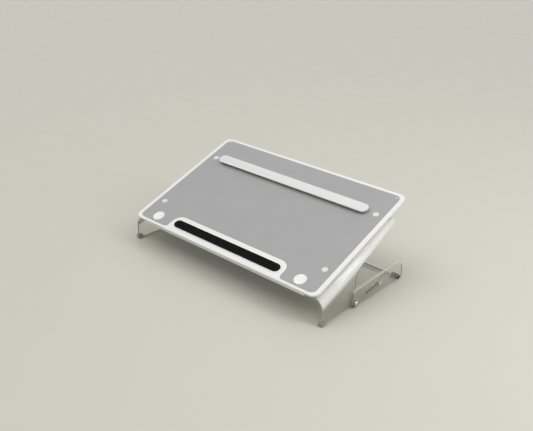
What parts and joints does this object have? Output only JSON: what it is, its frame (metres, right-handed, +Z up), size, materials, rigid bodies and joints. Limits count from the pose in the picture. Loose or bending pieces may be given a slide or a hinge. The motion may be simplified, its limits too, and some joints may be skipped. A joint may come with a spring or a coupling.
{
  "type": "writing slope",
  "caption": "Tilted writing board with a page guide and pen ledge, sliding forward on a clear bent stand whose pinned side legs set the height; a keyboard fits underneath.",
  "frame": {"origin": "on the desk, under the middle of the object's bounding box", "axes": "+X to the right of the person writing, +Y from the front edge to the rear, +Z up"},
  "size_m": [0.5486, 0.2996, 0.178],
  "materials": {
    "white_board": "gloss",
    "grey_mat": "satin",
    "black_rubber": "matte",
    "white_plastic": "gloss",
    "clear_sheet": "polished",
    "rail_aluminium": "anodised",
    "shoe_plastic": "matte",
    "steel": "satin",
    "foot_rubber": "matte",
    "dark_plastic": "matte"
  },
  "bodies": {
    "stand": {"stand": "clear_sheet", "shoe_front_left": "shoe_plastic", "shoe_front_right": "shoe_plastic", "shoe_rear_left": "shoe_plastic", "shoe_rear_right": "shoe_plastic", "front_foot_left": "foot_rubber", "front_foot_right": "foot_rubber", "pivot_screws": "steel", "pivot_nuts": "steel"},
    "board": {"board": "white_board", "mat": "grey_mat", "pen_strip": "black_rubber", "badge_discs": "white_plastic", "stop_pins": "steel", "runner_screws": "white_plastic", "runner_left": "rail_aluminium", "runner_right": "rail_aluminium"},
    "guide": {"guide_bar": "white_plastic", "guide_foot_left": "foot_rubber", "guide_foot_right": "foot_rubber"},
    "leg_frame": {"leg_left": "clear_sheet", "leg_right": "clear_sheet", "cross_rod": "steel", "rod_sleeve": "black_rubber", "rod_caps": "dark_plastic"},
    "peg_left": {"peg_left": "steel"},
    "peg_right": {"peg_right": "steel"}
  },
  "joints": [
    {"name": "board_slide", "type": "slide", "parent": "stand", "child": "board", "axis": [0, -0.9348, -0.3551], "range_m": [0, 0.1102]},
    {"name": "guide_slide", "type": "slide", "parent": "board", "child": "guide", "axis": [0, 0.9348, 0.3551], "range_m": [-0.17, 0.05]},
    {"name": "leg_swing", "type": "hinge", "parent": "stand", "child": "leg_frame", "pos_m": [0, -0.03281, 0.008], "axis": [-1, 0, 0], "range_deg": [0, 7]},
    {"name": "peg_pull_left", "type": "slide", "parent": "leg_frame", "child": "peg_left", "axis": [-1, 0, 0], "range_m": [0, 0.012]},
    {"name": "peg_pull_right", "type": "slide", "parent": "leg_frame", "child": "peg_right", "axis": [1, 0, 0], "range_m": [0, 0.012]}
  ]
}
